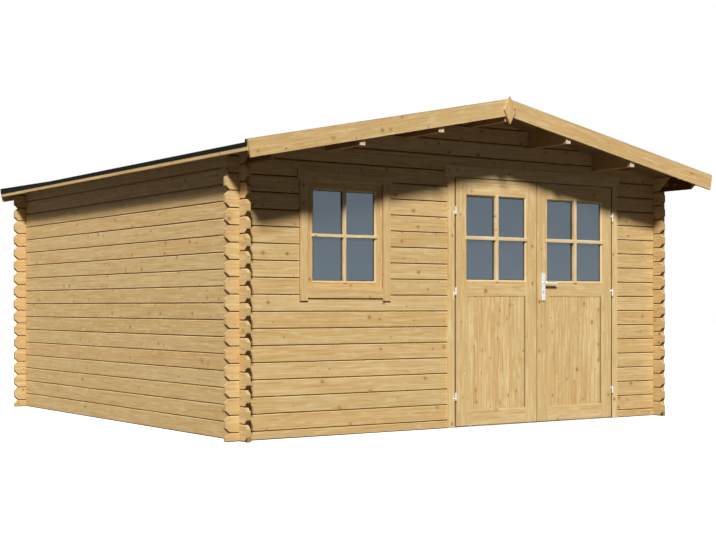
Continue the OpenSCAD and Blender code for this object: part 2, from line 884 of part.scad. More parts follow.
module handle_plates() {
    color(zinc) {
        translate([spindle_x, face_y - plate_t - seat, handle_z]) handle_plate();
        translate([spindle_x, face_y + leaf_t + seat, handle_z]) handle_plate();
    }
}

// Half of the lever on one side of the leaf: a neck, a quarter bend and a round-ended grip
module lever_half(reach) {
    bend = 16;
    rotate([90, 0, 0])
        cylinder(r = lever_r, h = reach - bend);
    translate([bend, -reach + bend, 0])
        rotate([0, 0, 180])
            rotate_extrude(angle = 90)
                translate([bend, 0])
                    circle(r = lever_r);
    translate([bend, -reach, 0])
        rotate([0, 90, 0])
            cylinder(r = lever_r, h = lever_l - bend - lever_r);
    translate([lever_l - lever_r, -reach, 0])
        sphere(r = lever_r);
}

module door_lever() {
    reach = plate_t + lever_out;
    gap = 0.5;
    color(zinc)
        translate([spindle_x, face_y, handle_z]) {
            translate([0, -plate_t, 0])
                rotate([-90, 0, 0])
                    cylinder(r = spindle_r, h = leaf_t + 2 * plate_t);
            translate([0, -gap, 0]) lever_half(reach);
            translate([0, leaf_t + gap, 0]) mirror([0, 1, 0]) lever_half(reach);
        }
}

// ---- Floor ------------------------------------------------------------

module floor_bearers() {
    x = side_x - log_t - seat;
    y0 = inner_y + floor_gap + bearer_w / 2;
    y1 = back_y - log_t - floor_gap - bearer_w / 2;
    color(inner_wood)
        for (i = [0:bearers - 1]) {
            y = y0 + (y1 - y0) * i / (bearers - 1);
            box([-x, y - bearer_w / 2, 0], [x, y + bearer_w / 2, bearer_h - seat]);
        }
}

module floor_boards() {
    x = side_x - log_t - floor_gap;
    hole = frame_in + jamb_w + floor_gap;
    color(inner_wood)
        difference() {
            box([-x, front_y + log_t + floor_gap, bearer_h],
                [x, back_y - log_t - floor_gap, floor_z]);
            box([door_mid - hole, front_y, bearer_h - eps],
                [door_mid + hole, inner_y + floor_gap, floor_z + eps]);
        }
}

left_wall();
right_wall();
left_top_log();
right_top_log();
front_wall_left();
front_wall_right();
front_gable();
back_wall();
back_gable();
ridge_purlin();
left_purlins();
right_purlins();
left_roof_boards();
right_roof_boards();
left_roof_felt();
right_roof_felt();
eave_battens();
roof_edge_laths();
front_left_bargeboard();
front_right_bargeboard();
back_left_bargeboard();
back_right_bargeboard();
gable_plates();
window_trim();
window_lining();
window_sash();
window_glass();
door_frame();
door_head_trim();
door_threshold();
frame_hinges();
left_leaf_frame();
left_leaf_panel();
left_leaf_glass();
left_leaf_hinges();
right_leaf_frame();
right_leaf_panel();
right_leaf_glass();
right_leaf_hinges();
handle_plates();
door_lever();
floor_bearers();
floor_boards();
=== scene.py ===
import math
import random

import bmesh
import bpy
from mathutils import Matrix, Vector


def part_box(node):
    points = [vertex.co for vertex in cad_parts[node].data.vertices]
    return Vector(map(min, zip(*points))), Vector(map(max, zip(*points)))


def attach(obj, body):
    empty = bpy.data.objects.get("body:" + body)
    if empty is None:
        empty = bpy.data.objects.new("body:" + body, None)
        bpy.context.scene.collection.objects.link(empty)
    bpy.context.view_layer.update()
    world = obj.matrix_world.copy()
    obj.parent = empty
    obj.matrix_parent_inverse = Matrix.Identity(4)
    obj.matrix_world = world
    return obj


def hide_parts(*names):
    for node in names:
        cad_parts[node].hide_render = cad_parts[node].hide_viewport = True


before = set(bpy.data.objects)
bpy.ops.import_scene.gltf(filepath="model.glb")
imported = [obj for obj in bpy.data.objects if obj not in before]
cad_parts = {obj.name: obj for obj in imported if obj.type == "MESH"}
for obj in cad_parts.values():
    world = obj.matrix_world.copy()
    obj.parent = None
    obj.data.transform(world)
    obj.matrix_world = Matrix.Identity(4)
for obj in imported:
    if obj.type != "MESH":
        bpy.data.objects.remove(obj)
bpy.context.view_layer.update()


# ---- Log walls -----------------------------------------------------------------------------
# Planed spruce logs, 28 mm thick and 115 mm high, laid on each other with tongue and groove
# and notched into each other at the corners. Each log was cut from another stem, so each has
# its own growth rings, knots and tone. The logs are the frame's own solids.

LOG_H = 0.115
LOG_T = 0.028
LOG_BEVEL = 0.006
# A log's free end: its sloped lower corner, and the distance to the middle of the crossing log
END_CUT_L, END_CUT_H = 0.033, 0.030
CROSSING = 0.118
SPRUCE = (0.625, 0.455, 0.214)
LATE_WOOD = (0.47, 0.27, 0.092)
KNOT = (0.25, 0.115, 0.04)
RING_W = 0.0042


class Value:
    """A socket in a material. Arithmetic on it adds Math nodes."""

    def __init__(self, tree, socket):
        self.tree, self.socket = tree, socket

    def out(self, name):
        return Value(self.tree, self.socket.node.outputs[name])

    def math(self, operation, *values):
        return self.tree.node("Math", {"operation": operation}, dict(enumerate(values)))

    def __add__(self, other):
        return self.math("ADD", self, other)

    __radd__ = __add__

    def __sub__(self, other):
        return self.math("SUBTRACT", self, other)

    def __rsub__(self, other):
        return self.math("SUBTRACT", other, self)

    def __mul__(self, other):
        return self.math("MULTIPLY", self, other)

    __rmul__ = __mul__

    def __truediv__(self, other):
        return self.math("DIVIDE", self, other)

    def __pow__(self, other):
        return self.math("POWER", self, other)

    def __gt__(self, other):
        return self.math("GREATER_THAN", self, other)

    def __lt__(self, other):
        return self.math("LESS_THAN", self, other)

    def size(self):
        return self.math("ABSOLUTE", self)

    def floor(self):
        return self.math("FLOOR", self)

    def fract(self):
        return self.math("FRACT", self)

    def exp(self):
        return self.math("EXPONENT", self)


class Tree:
    """The nodes of one material, with the object's own coordinates as x, y and z."""

    def __init__(self, name):
        self.material = bpy.data.materials.new(name)
        self.material.use_nodes = True
        self.tree = self.material.node_tree
        self.shader = self.tree.nodes["Principled BSDF"]
        self.place = self.node("TexCoord").out("Object")
        self.x = self.axes(self.place)
        self.y, self.z = self.x.out("Y"), self.x.out("Z")

    def node(self, kind, settings={}, values={}):
        node = self.tree.nodes.new("ShaderNode" + kind)
        for name, setting in settings.items():
            if name == "stops":
                ramp = node.color_ramp
                while len(ramp.elements) < len(setting):
                    ramp.elements.new(0.5)
                for element, (position, colour) in zip(ramp.elements, setting):
                    element.position, element.color = position, (*colour, 1)
            else:
                setattr(node, name, setting)
        for name, value in values.items():
            self.feed(node.inputs[name], value)
        shown = [s for s in node.outputs if s.enabled]
        return Value(self, shown[0])

    def feed(self, socket, value):
        if isinstance(value, Value):
            self.tree.links.new(value.socket, socket)
        elif isinstance(value, tuple) and socket.type == "RGBA":
            socket.default_value = (*value, 1)
        else:
            socket.default_value = value

    def axes(self, vector):
        return self.node("SeparateXYZ", values={0: vector})

    def vector(self, x, y, z):
        return self.node("CombineXYZ", values={0: x, 1: y, 2: z})

    def mix(self, low, high, factor):
        return self.node("Mix", {"data_type": "RGBA"}, {0: factor, 6: low, 7: high})

    def choose(self, low, high, factor):
        return self.node("Mix", {"data_type": "FLOAT"}, {0: factor, 2: low, 3: high})

    def smooth(self, value, low, high):
        """0 below low and 1 above high, with a soft step between them; low may be the higher."""
        return self.node(
            "MapRange", {"interpolation_type": "SMOOTHSTEP"}, {0: value, 1: low, 2: high}
        )

    def noise(self, vector, scale=1.0, detail=2.0):
        return self.node(
            "TexNoise", values={"Vector": vector, "Scale": scale, "Detail": detail}
        )

    def finish(self, **sockets):
        names = {"color": "Base Color", "roughness": "Roughness", "metallic": "Metallic",
                 "normal": "Normal", "alpha": "Alpha"}
        for name, value in sockets.items():
            self.feed(self.shader.inputs[names[name]], value)
        return self.material

    def bump(self, height, distance, strength=1.0):
        return self.node(
            "Bump", values={"Height": height, "Distance": distance, "Strength": strength}
        )

    def facing(self, axis):
        """How far a face looks along that axis, from -1 to 1."""
        return self.axes(self.node("TexCoord").out("Normal")).out(axis)


def tinted(tone, shares):
    """A tone with each of its three colours times its own share."""
    return tuple(c * k for c, k in zip(tone, shares))


def spruce(t, along, across, depth, number, tone=SPRUCE, knots=0.34, ends=None, contrast=1.0,
           dirt_and_painted_shade=None, painted_highlight=None):
    """Planed spruce with its rings round a pith behind the face, all in metres.

    number tells the boards apart; along, across and depth are measured on one board. tone is the
    wood's colour, which some callers darken as painted shade, knots the share of places for a knot
    that have one, and contrast the strength of rings and streaks. ends is 1 on end grain, joint is
    1 where dirt and painted shade darken the wood, and bleached is 1 where a painted highlight
    makes it paler.
    """
    t.shader.inputs["Specular IOR Level"].default_value = 0.08
    luck = t.node("TexWhiteNoise", {"noise_dimensions": "1D"}, {"W": number * 7.31 + 0.5})
    first = t.node("SeparateColor", values={0: luck.out("Color")})
    second, third = first.out("Green"), first.out("Blue")
    along = along + first * 60.0
    side = across + (second - 0.5) * 0.09
    back = depth + 0.018 + third * 0.085

    # Knots: one in some cells of an uneven net over the board's face
    cell = 0.078
    net = t.vector(along * (0.8 / cell), (across + number * 0.317) / cell, first * 9.0)
    spots = t.node("TexVoronoi", {"voronoi_dimensions": "2D"}, {"Vector": net, "Scale": 1.0})
    chance = t.node("SeparateColor", values={0: spots.out("Color")})
    there = chance < knots
    radius = 0.0024 + chance.out("Green") ** 3.0 * 0.0085
    away = spots.out("Distance") * cell
    knot = t.smooth(away / radius, 1.15, 0.8) * there
    rim = t.smooth(away / radius, 2.6, 1.0) * there

    # Growth rings, which run wavy along the board and swing round its knots
    wave = t.noise(t.vector(along * 0.55, side * 5.0, back * 5.0), 1.0, 3.0) - 0.5
    swing = (away * -55.0).exp() * there
    ring = (side * side + back * back) ** 0.5 + wave * 0.035 + swing * 0.006
    late = (ring / RING_W).fract() ** 2.6
    year = t.noise(t.vector(ring * 95.0, along * 0.35, number), 1.0, 2.0)
    fibre = t.noise(t.vector(along * 9.0, side * 520.0, back * 520.0), 1.0, 2.0)
    patch = t.noise(t.vector(along * 1.7, side * 9.0, number * 3.0), 1.0, 2.0)
    streak = t.noise(t.vector(along * 2.6, side * 104.0, back * 40.0 + number), 1.0, 4.0)
    blotch = t.noise(t.vector(along * 7.5, side * 46.0, number * 1.7), 1.0, 3.0)

    # Colour: each stem has its own tone, and rings, streaks and blotches change it
    wood = t.mix(tinted(tone, (1.07, 1.08, 1.16)), tinted(tone, (1.0, 0.91, 0.86)), first)
    wood = t.mix(wood, tinted(tone, (0.86, 0.84, 0.76)), second * 0.62)
    late_tone = tuple(c * k / s for c, k, s in zip(LATE_WOOD, tone, SPRUCE))
    ringed = t.smooth(year, 0.42, 0.74) * 0.34
    patchy = t.smooth(patch, 0.5, 0.8) * 0.18
    wood = t.mix(wood, late_tone, (late * 0.20 + ringed + patchy) * contrast)
    for grain, start, end, strength, shares in (
        (streak, 0.50, 0.72, 0.8, (0.74, 0.62, 0.46)),
        (streak, 0.48, 0.28, 0.7, (1.17, 1.24, 1.42)),
        (blotch, 0.50, 0.72, 0.6, (1.02, 0.86, 0.72)),
        (blotch, 0.50, 0.30, 0.6, (1.12, 1.17, 1.25)),
    ):
        wood = t.mix(wood, tinted(tone, shares), t.smooth(grain, start, end) * strength * contrast)
    wood = t.mix(wood, tinted(tone, (0.80, 0.80, 0.80)), t.smooth(fibre, 0.52, 0.72) * 0.16)
    # A painted highlight: paler, bluer wood on faces that catch the light
    if painted_highlight is not None:
        wood = t.mix(wood, tinted(tone, (1.08, 1.20, 1.45)), painted_highlight * 0.4)
    # Dark colour for dirt and for painted shade, where the callers' masks say
    if dirt_and_painted_shade is not None:
        wood = t.mix(wood, tinted(tone, (0.14, 0.07, 0.02)), dirt_and_painted_shade)
    wood = t.mix(wood, tinted(tone, (0.72, 0.58, 0.42)), rim * 0.55)
    wood = t.mix(wood, KNOT, knot * (0.35 + 0.45 * chance.out("Blue")))
    if ends is not None:
        wood = t.mix(wood, tinted(tone, (0.80, 0.74, 0.66)), ends * 0.55)
        wood = t.mix(wood, late_tone, ends * late * 0.35)
    relief = fibre * 0.35 - late * 0.5 + knot * 1.4
    return {
        "color": wood,
        "roughness": 0.62 - late * 0.06 + (fibre - 0.5) * 0.16 - knot * 0.12,
        "normal": t.bump(relief, 0.00035, 0.7),
    }


def end_grain(t, axis):
    """1 on faces that cut the fibres along that axis, and 0 on faces along them."""
    return t.smooth(t.facing(axis).size(), 0.45, 0.9)


def paint(material, *nodes):
    """Gives the frame's own nodes a material."""
    for node in nodes:
        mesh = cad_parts[node].data
        mesh.materials.clear()
        mesh.materials.append(material)


def log_dirt_and_shade(t, along, across, start, end):
    """1 where the wood is darkened: dark V joints, partly dirt and partly painted shade, and
    painted shade on faces that look down, by the crossing logs and in the undercut ends.

    The log lies from start to end. The painted shade by the crossing logs is only at the back and
    the right ends.
    """
    # Dark V joints, partly dirt and partly painted shade; a painted shadow along each log's lower
    # edge; painted shade on faces that look down
    inside = t.smooth(across.size(), LOG_H / 2 - 0.0022, LOG_H / 2 - 0.0008)
    lower = t.smooth(across * -1.0, LOG_H / 2 - LOG_BEVEL - 0.0026, LOG_H / 2 - LOG_BEVEL)
    under = t.smooth(t.facing("Z"), -0.2, -0.6)
    middle_at, half_length = (start + end) / 2, (end - start) / 2
    from_end = half_length - (along - middle_at).size()
    # Painted shade in the corners by the crossing logs, only at the back and right ends
    crossing = t.smooth((from_end - CROSSING).size(), LOG_T / 2 + 0.007, LOG_T / 2 + 0.001)
    crossing = crossing * (along > middle_at)
    # Painted shade in the sloped undercut of each free end
    undercut = t.smooth(from_end / END_CUT_L + (across + LOG_H / 2) / END_CUT_H, 1.32, 1.10)
    return inside * 0.5 + lower * 0.6 + under + crossing * 0.4 + undercut


def side_log_wood(name, face_x, salt):
    t = Tree(name)
    row = (t.z / LOG_H).floor()
    across = t.z - (row + 0.5) * LOG_H
    depth = (t.x - face_x).size()
    low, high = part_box("left_wall")
    dirt_and_painted_shade = log_dirt_and_shade(t, t.y, across, low.y, high.y)
    return t.finish(**spruce(t, t.y, across, depth, row + salt, ends=end_grain(t, "Y"),
                             dirt_and_painted_shade=dirt_and_painted_shade))


def gable_log_wood(name, face_y, salt):
    """As the side logs, half a log lower."""
    t = Tree(name)
    row = (t.z / LOG_H + 0.5).floor()
    across = t.z - row * LOG_H
    depth = (t.y - face_y).size()
    low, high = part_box("back_wall")
    dirt_and_painted_shade = log_dirt_and_shade(t, t.x, across, low.x, high.x)
    return t.finish(**spruce(t, t.x, across, depth, row + salt, ends=end_grain(t, "X"),
                             dirt_and_painted_shade=dirt_and_painted_shade))


left_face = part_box("left_wall")[0].x
right_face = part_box("right_wall")[1].x
front_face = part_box("front_gable")[0].y
back_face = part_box("back_gable")[1].y
paint(side_log_wood("left log wood", left_face, 11), "left_wall", "left_top_log")
paint(side_log_wood("right log wood", right_face, 47), "right_wall", "right_top_log")
paint(gable_log_wood("front log wood", front_face, 83),
      "front_wall_left", "front_wall_right", "front_gable")
paint(gable_log_wood("back log wood", back_face, 131), "back_wall", "back_gable")


# ---- Purlins -------------------------------------------------------------------------------
# Five planed spruce beams that lie in notches in the gables and carry the roof boards. They run
# on past both gables, and their sawn ends meet the backs of the bargeboards.

# Painted shade and light: the beams get a dark tone for the shade under the roof, and their sawn
# ends a pale one where the light falls on them
SHADED_PURLIN = (0.40, 0.26, 0.115)
LIT_SAWN_END = (0.74, 0.57, 0.36)

t = Tree("purlin wood")
number = (t.x * 3.1).floor() + 211  # another for each beam across the roof
ridge_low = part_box("ridge_purlin")[0]
wood = spruce(t, t.y, t.z - ridge_low.z, t.x * 0.5, number, knots=0.3, tone=SHADED_PURLIN)
sawn = end_grain(t, "Y")
# Painted light: the sawn ends are pale
wood["color"] = t.mix(wood["color"], LIT_SAWN_END, sawn * 0.85)
paint(t.finish(**wood), "ridge_purlin", "left_purlins", "right_purlins")


# ---- Roof boards ---------------------------------------------------------------------------
# Tongue and groove boards, about 96 mm wide, nailed to the purlins from the ridge to the eave.
# Their V joints show below, under the overhangs and inside.

ROOF_BOARD_W = 0.096
ROOF_BOARD_T = 0.018
BOARD_JOINT = 0.0005
V_JOINT = 0.0025
PITCH = math.radians(11.4)
# A dark tone painted on all the boards, as the shade on their undersides under the overhangs
SHADED_SOFFIT = (0.22, 0.14, 0.065)


def alone(piece):
    """Makes piece the only one selected, and the one that operators act on."""
    bpy.ops.object.select_all(action="DESELECT")
    piece.select_set(True)
    bpy.context.view_layer.objects.active = piece


def block(name, low, high):
    """A plain block between two corners, which its section then shapes."""
    bpy.ops.object.select_all(action="DESELECT")
    low, high = Vector(low), Vector(high)
    bpy.ops.mesh.primitive_cube_add(size=1, location=(low + high) / 2, scale=high - low)
    piece = bpy.context.object
    piece.name = name
    bpy.ops.object.transform_apply(location=True, rotation=True, scale=True)
    return piece


def edit(piece, kind, chosen, work):
    """Picks the verts, edges or faces of a piece that are chosen, and works on them."""
    alone(piece)
    bpy.ops.object.mode_set(mode="EDIT")
    bpy.ops.mesh.select_mode(type={"verts": "VERT", "edges": "EDGE", "faces": "FACE"}[kind])
    bpy.ops.mesh.select_all(action="DESELECT")
    mesh = bmesh.from_edit_mesh(piece.data)
    for part in getattr(mesh, kind):
        if chosen(part):
            part.select_set(True)
    mesh.select_flush_mode()
    bmesh.update_edit_mesh(piece.data)
    work()
    bpy.ops.object.mode_set(mode="OBJECT")


def middle(edge):
    """The point halfway along an edge."""
    return (edge.verts[0].co + edge.verts[1].co) / 2


def near(a, b):
    """Whether two places are the same to a tenth of a millimetre."""
    return abs(a - b) < 1e-4


def repeat(piece, count, step):
    """Repeats a piece in a row with an array that is applied."""
    alone(piece)
    array = piece.modifiers.new("row", "ARRAY")
    array.count = count
    array.use_relative_offset = False
    array.use_constant_offset = True
    array.constant_offset_displace = step
    bpy.ops.object.modifier_apply(modifier=array.name)


def fix(piece, body, slot, material, *stands_for):
    """Hands a finished piece to the frame."""
    piece.data.materials.clear()
    piece.data.materials.append(material)
    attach(piece, body)
    if stands_for:
        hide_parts(*stands_for)


def roof_board_wood(side):
    t = Tree(f"{side} roof board wood")
    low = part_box(f"{side}_roof_boards")[0]
    row = ((t.y - low.y) / roof_board_step).floor()
    across = t.y - low.y - (row + 0.5) * roof_board_step
    number = row + (307 if side == "left" else 401)
    # The dark tone is painted shade
    return t.finish(**spruce(t, t.x, across, t.z * 0.1, number, tone=SHADED_SOFFIT))


roof_low, roof_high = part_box("right_roof_boards")
roof_length = roof_high.y - roof_low.y
roof_boards = round(roof_length / ROOF_BOARD_W)
roof_board_step = roof_length / roof_boards
board_upright = ROOF_BOARD_T / math.cos(PITCH)
for side in ("left", "right"):
    low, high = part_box(f"{side}_roof_boards")
    outer = low.x if side == "left" else high.x
    board = block(f"{side}_roof_planks",
                  (low.x, low.y + BOARD_JOINT / 2, high.z - board_upright),
                  (high.x, low.y + roof_board_step - BOARD_JOINT / 2, high.z))
    drop = high.z - board_upright - low.z
    edit(board, "verts", lambda v: near(v.co.x, outer),
         lambda: bpy.ops.transform.translate(value=(0, 0, -drop)))
    edit(board, "edges",
         lambda e: abs(e.verts[0].co.x - e.verts[1].co.x) > 1 and
         middle(e).z < (low.z + high.z) / 2,
         lambda: bpy.ops.mesh.bevel(offset=V_JOINT, segments=1, affect="EDGES"))
    repeat(board, roof_boards, (0, roof_board_step, 0))
    fix(board, "shed", "roof_wood", roof_board_wood(side), f"{side}_roof_boards")


# ---- Roofing felt --------------------------------------------------------------------------
# Sanded bitumen felt in sheets along the roof, each lapped over the one below it and nailed,
# with a cap over the ridge. The lowest sheets, turned down over the eaves, are the frame's own,
# and so are the covered laths along the gable edges.

FELT_T = 0.0025
LAP_FROM_RIDGE = 1.28
CAP_W = 0.30
LATH = 0.030
RIDGE_PLAY = 0.0004
# How far the lower and the upper edge of a sheet lie above the frame's own felt
UPPER_LIFT = (0.0004, 0.0002)
CAP_LIFT = (0.0042, 0.0040)
UPPER_RIPPLE, CAP_RIPPLE = 0.0012, 0.0010


def felt_material():
    t = Tree("roofing felt")
    grit = t.noise(t.place, 900.0, 1.0)
    flake = t.node("TexVoronoi", values={"Vector": t.place, "Scale": 650.0})
    shade = t.node("SeparateColor", values={0: flake.out("Color")})
    cloud = t.noise(t.vector(t.x * 1.3, t.y * 1.1, t.z), 1.0, 4.0)
    streak = t.noise(t.vector(t.x * 2.0, t.y * 9.0, 0.0), 1.0, 3.0)
    sheet = (t.x.size() > LAP_FROM_RIDGE) * 3.0 + (t.x.size() < CAP_W) * 5.0 + (t.x > 0) * 1.0
    batch = t.node("TexWhiteNoise", {"noise_dimensions": "1D"}, {"W": sheet + 0.5})
    black = t.mix((0.006, 0.0055, 0.005), (0.014, 0.0135, 0.012), grit)
    black = t.mix(black, (0.050, 0.048, 0.045), (shade > 0.88) * 0.5)
    black = t.mix(black, (0.022, 0.021, 0.021), t.smooth(cloud, 0.45, 0.75) * 0.5)
    black = t.mix(black, (0.005, 0.005, 0.005), t.smooth(streak, 0.55, 0.8) * 0.3)
    black = t.mix(black, (0.024, 0.022, 0.019), batch * 0.4)
    t.shader.inputs["Specular IOR Level"].default_value = 0.05
    return t.finish(color=black, roughness=0.86 + grit * 0.1,
                    normal=t.bump(grit + shade, 0.0006, 0.6))


felt = felt_material()
paint(felt, "left_roof_felt", "right_roof_felt", "roof_edge_laths")


def felt_sheet(name, side, start, end, lift):
    """A sheet down the slope from start to end, which are level measures from the ridge."""
    sign = -1 if side == "left" else 1
    low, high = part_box(f"{side}_roof_felt")
    y0, y1 = low.y + LATH, high.y - LATH
    slope = math.tan(PITCH)
    lift_low, lift_high = lift
    bpy.ops.object.select_all(action="DESELECT")
    bpy.ops.mesh.primitive_plane_add(
        size=1, location=(sign * (start + end) / 2, (y0 + y1) / 2, high.z))
    sheet = bpy.context.object
    sheet.name = name
    sheet.scale = (end - start, y1 - y0, 1)
    bpy.ops.object.transform_apply(location=True, rotation=True, scale=True)
    edit(sheet, "verts", lambda v: abs(v.co.x) > (start + end) / 2,
         lambda: bpy.ops.transform.translate(value=(0, 0, lift_low - end * slope)))
    edit(sheet, "verts", lambda v: abs(v.co.x) < (start + end) / 2,
         lambda: bpy.ops.transform.translate(value=(0, 0, lift_high - start * slope)))
    return sheet


def thicken(sheet, thickness):
    """Gives a sheet its thickness, upwards, with all its faces outwards."""
    alone(sheet)
    solid = sheet.modifiers.new("thickness", "SOLIDIFY")
    solid.thickness, solid.offset = thickness, 1.0
    bpy.ops.object.modifier_apply(modifier=solid.name)
    edit(sheet, "faces", lambda f: True,
         lambda: bpy.ops.mesh.normals_make_consistent(inside=False))


def ripple(sheet, cuts, height, seed):
    """Lets a felt sheet lie a little uneven, as it does between its nails."""
    edit(sheet, "faces", lambda f: True, lambda: bpy.ops.mesh.subdivide(number_cuts=cuts))
    rng = random.Random(seed)
    phases = [rng.uniform(0, 6.28) for _ in range(4)]
    for v in sheet.data.vertices:
        wave = sum(math.sin(v.co.y * (3.1 + 2.3 * k) + v.co.x * (4.7 - k) + p)
                   for k, p in enumerate(phases))
        v.co.z += height * (0.5 + wave / 8)


for seed, side in enumerate(("left", "right")):
    upper = felt_sheet(f"{side}_upper_felt", side, RIDGE_PLAY, LAP_FROM_RIDGE, UPPER_LIFT)
    ripple(upper, 40, UPPER_RIPPLE, seed)
    thicken(upper, FELT_T)
    fix(upper, "shed", "roofing_felt", felt)
    cap = felt_sheet(f"{side}_ridge_felt", side, 0.0, CAP_W, CAP_LIFT)
    ripple(cap, 24, CAP_RIPPLE, seed + 5)
    thicken(cap, FELT_T)
    fix(cap, "shed", "roofing_felt", felt)


# ---- Felt nails ----------------------------------------------------------------------------
# Short galvanised nails with wide flat heads along each lap, along the cap's edges and along
# the turned down edges over the eaves.

NAIL_HEAD_R = 0.005
NAIL_HEAD_T = 0.0012
NAIL_STEP = 0.095
EAVE_NAIL_UP = 0.012
# Rows of nails on a slope: level distance from the ridge, and height over the frame's own felt
NAIL_ROWS = ((LAP_FROM_RIDGE - 0.025, 0.0034), (CAP_W - 0.022, 0.0072))


def galvanised():
    t = Tree("galvanised nails")
    spangle = t.noise(t.place, 420.0, 2.0)
    grey = t.mix((0.46, 0.47, 0.48), (0.63, 0.64, 0.65), spangle)
    return t.finish(color=grey, metallic=1.0, roughness=0.42 + spangle * 0.2,
                    normal=t.bump(spangle, 0.0002, 0.4))


def nail_head(at, lean):
    """A flat round head with a soft edge, its back on the point where it is driven in."""
    bpy.ops.object.select_all(action="DESELECT")
    bpy.ops.mesh.primitive_cylinder_add(vertices=10, radius=NAIL_HEAD_R, depth=NAIL_HEAD_T,
                                        location=(0, 0, NAIL_HEAD_T / 2))
    head = bpy.context.object
    head.name = "nail"
    bpy.ops.object.transform_apply(location=True, rotation=True, scale=True)
    edit(head, "edges", lambda e: min(v.co.z for v in e.verts) > NAIL_HEAD_T * 0.9,
         lambda: bpy.ops.mesh.bevel(offset=NAIL_HEAD_T * 0.45, segments=1, affect="EDGES"))
    head.rotation_euler = lean
    head.location = at
    bpy.ops.object.transform_apply(location=True, rotation=True, scale=True)
    return head


def join(name, pieces):
    """Joins pieces into one of that name."""
    bpy.ops.object.select_all(action="DESELECT")
    for piece in pieces:
        piece.select_set(True)
    bpy.context.view_layer.objects.active = pieces[0]
    bpy.ops.object.join()
    pieces[0].name = name
    return pieces[0]


nail_metal = galvanised()
felt_low, felt_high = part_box("right_roof_felt")
nail_y = felt_low.y + LATH + NAIL_STEP / 2
nail_count = int((felt_high.y - LATH - nail_y) / NAIL_STEP)
heads = []
for side, sign in (("left", -1), ("right", 1)):
    for reach, lift in NAIL_ROWS:
        z = felt_high.z - reach * math.tan(PITCH) + lift
        heads.append(nail_head((sign * reach, nail_y, z), (0, sign * PITCH, 0)))
    low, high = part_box(f"{side}_roof_felt")
    edge = low.x if side == "left" else high.x
    heads.append(nail_head((edge - sign * NAIL_HEAD_T, nail_y, low.z + EAVE_NAIL_UP),
                           (0, sign * math.pi / 2, 0)))
for head in heads:
    repeat(head, nail_count, (0, NAIL_STEP, 0))
fix(join("felt_nails", heads), "shed", "roofing_felt", nail_metal)


# ---- Eave battens, bargeboards and gable plates --------------------------------------------
# Planed boards that close the roof's edges. The bargeboards meet plumb at the ridge, under a
# diamond plate, and are nailed through to the ends of the purlins and of the edge boards.

BARGE_HALF = 0.060


def sloped_wood(name, side, salt):
    """Board along the slope: its coordinates are turned into the board by a Mapping node."""
    t = Tree(name)
    turn = -PITCH if side == "right" else PITCH
    turned = t.node("Mapping", values={"Vector": t.place, "Rotation": (0, turn, 0)})
    x = t.axes(turned)
    number = (t.y > 0) * 1.0 + salt
    middle_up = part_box("front_left_bargeboard")[1].z * math.cos(PITCH) - BARGE_HALF
    across = x.out("Z") - middle_up
    # A thin darker band along the board's top edge
    top_edge = t.smooth(across, BARGE_HALF - 0.007, BARGE_HALF - 0.002)
    return t.finish(**spruce(t, x, across, t.y * 0.5, number, knots=0.42,
                             ends=end_grain(t, "X"), dirt_and_painted_shade=top_edge * 0.35))


for side, salt in (("left", 503), ("right", 509)):
    paint(sloped_wood(f"{side} bargeboard wood", side, salt),
          f"front_{side}_bargeboard", f"back_{side}_bargeboard")

t = Tree("eave batten wood")
number = (t.x > 0) * 1.0 + 521
batten_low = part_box("eave_battens")[0]
wood = spruce(t, t.y, t.z - batten_low.z, t.x.size() * 0.4, number, knots=0.3,
              ends=end_grain(t, "Y"))
paint(t.finish(**wood), "eave_battens")

t = Tree("gable plate wood")
number = (t.y > 0) * 1.0 + 533
wood = spruce(t, t.z, t.x + 0.012, t.y * 0.3, number, knots=0.2)
paint(t.finish(**wood), "gable_plates")


# ---- Window --------------------------------------------------------------------------------
# A fixed sash in a lined hole in the logs, trimmed with boards outside and inside. Upright
# pieces have upright grain, and head, sill and rails have level grain.


def framed_wood(name, box, upright_from, salt, rail_step=0.30, low_top=None, tone=SPRUCE,
                sides=0.42, sides_to=9.0, shaded_edge=None):
    """Wood of a frame: stiles where x is beyond upright_from of its middle, rails between.

    Each rail_step of height has other wood in its rail, and low_top gives the heights between
    which the stiles run. sides is the painted shade on faces that look sideways, up to sides_to
    from the middle, and shaded_edge is the x of an upright edge along which shade is painted.
    Slanted faces get a painted highlight.
    """
    t = Tree(name)
    low, high = box
    centre = (low.x + high.x) / 2
    off = t.x - centre
    upright = off.size() > upright_from
    if low_top is not None:
        upright = upright * (t.z > low_top[0]) * (t.z < low_top[1])
    rail = ((t.z - low.z) / rail_step).floor()
    number = t.choose(rail + salt, (off > 0) * 1.0 + salt + 31, upright)
    along = t.choose(t.x, t.z, upright)
    across = t.choose((t.z - low.z) * 0.7, off.size() - upright_from, upright)
    # Slanted faces get a painted highlight; faces that look sideways and the shaded edge get
    # painted shade
    slant = t.facing("Y").size()
    bevel = t.smooth(slant, 0.55, 0.66) * t.smooth(slant, 0.86, 0.76)
    side_and_edge_shade = end_grain(t, "X") * sides * (1.0 - bevel) * (off.size() < sides_to)
    if shaded_edge is not None:
        side_and_edge_shade = side_and_edge_shade + t.smooth((t.x - shaded_edge).size(), 0.0075, 0.0035) * 0.6
    return t.finish(**spruce(t, along, across, t.y * 0.5, number, knots=0.3, tone=tone,
                             dirt_and_painted_shade=side_and_edge_shade, painted_highlight=bevel))


TRIM_W = 0.063
TRIM_EAR = 0.018
HEAD_H = 0.077
LINING_T = 0.0155
GROOVE = 0.0087

